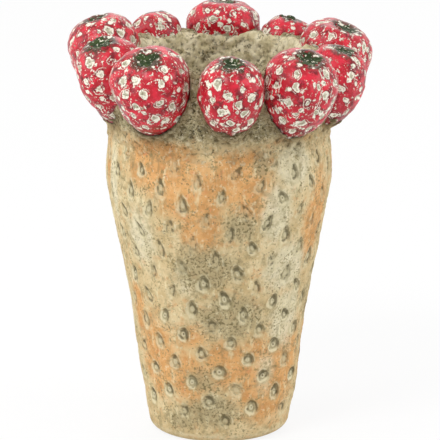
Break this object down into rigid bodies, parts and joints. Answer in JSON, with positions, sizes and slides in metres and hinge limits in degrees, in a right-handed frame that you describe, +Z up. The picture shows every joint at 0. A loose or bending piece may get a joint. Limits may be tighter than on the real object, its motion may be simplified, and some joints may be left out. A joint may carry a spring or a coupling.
{
  "type": "strawberry jar planter",
  "caption": "Tall tapered clay jar planter with a pitted wall, whose rim carries a thick clay collar and a ring of glazed strawberries bedded round the open mouth.",
  "frame": {"origin": "centre of the flat foot, on the ground plane", "axes": "+Z up along the jar's axis; the front of the picture faces -Y; +X is to the right"},
  "size_m": [0.2693, 0.2692, 0.3691],
  "materials": {
    "fired_clay": "matt, mottled peach and grey, pitted",
    "ash_clay": "rough, matt, ash grey",
    "red_glaze": "gloss red, worn to pale clay at the seed pits",
    "leaf_glaze": "gloss dark green"
  },
  "bodies": {
    "root": {"jar_body": "fired_clay", "bedding_collar": "ash_clay", "strawberry_01": "red_glaze", "strawberry_02": "red_glaze", "strawberry_03": "red_glaze", "strawberry_04": "red_glaze", "strawberry_05": "red_glaze", "strawberry_06": "red_glaze", "strawberry_07": "red_glaze", "strawberry_08": "red_glaze", "strawberry_09": "red_glaze", "strawberry_10": "red_glaze", "calyx_01": "leaf_glaze", "calyx_02": "leaf_glaze", "calyx_03": "leaf_glaze", "calyx_04": "leaf_glaze", "calyx_05": "leaf_glaze", "calyx_06": "leaf_glaze", "calyx_07": "leaf_glaze", "calyx_08": "leaf_glaze", "calyx_09": "leaf_glaze", "calyx_10": "leaf_glaze"}
  },
  "joints": []
}
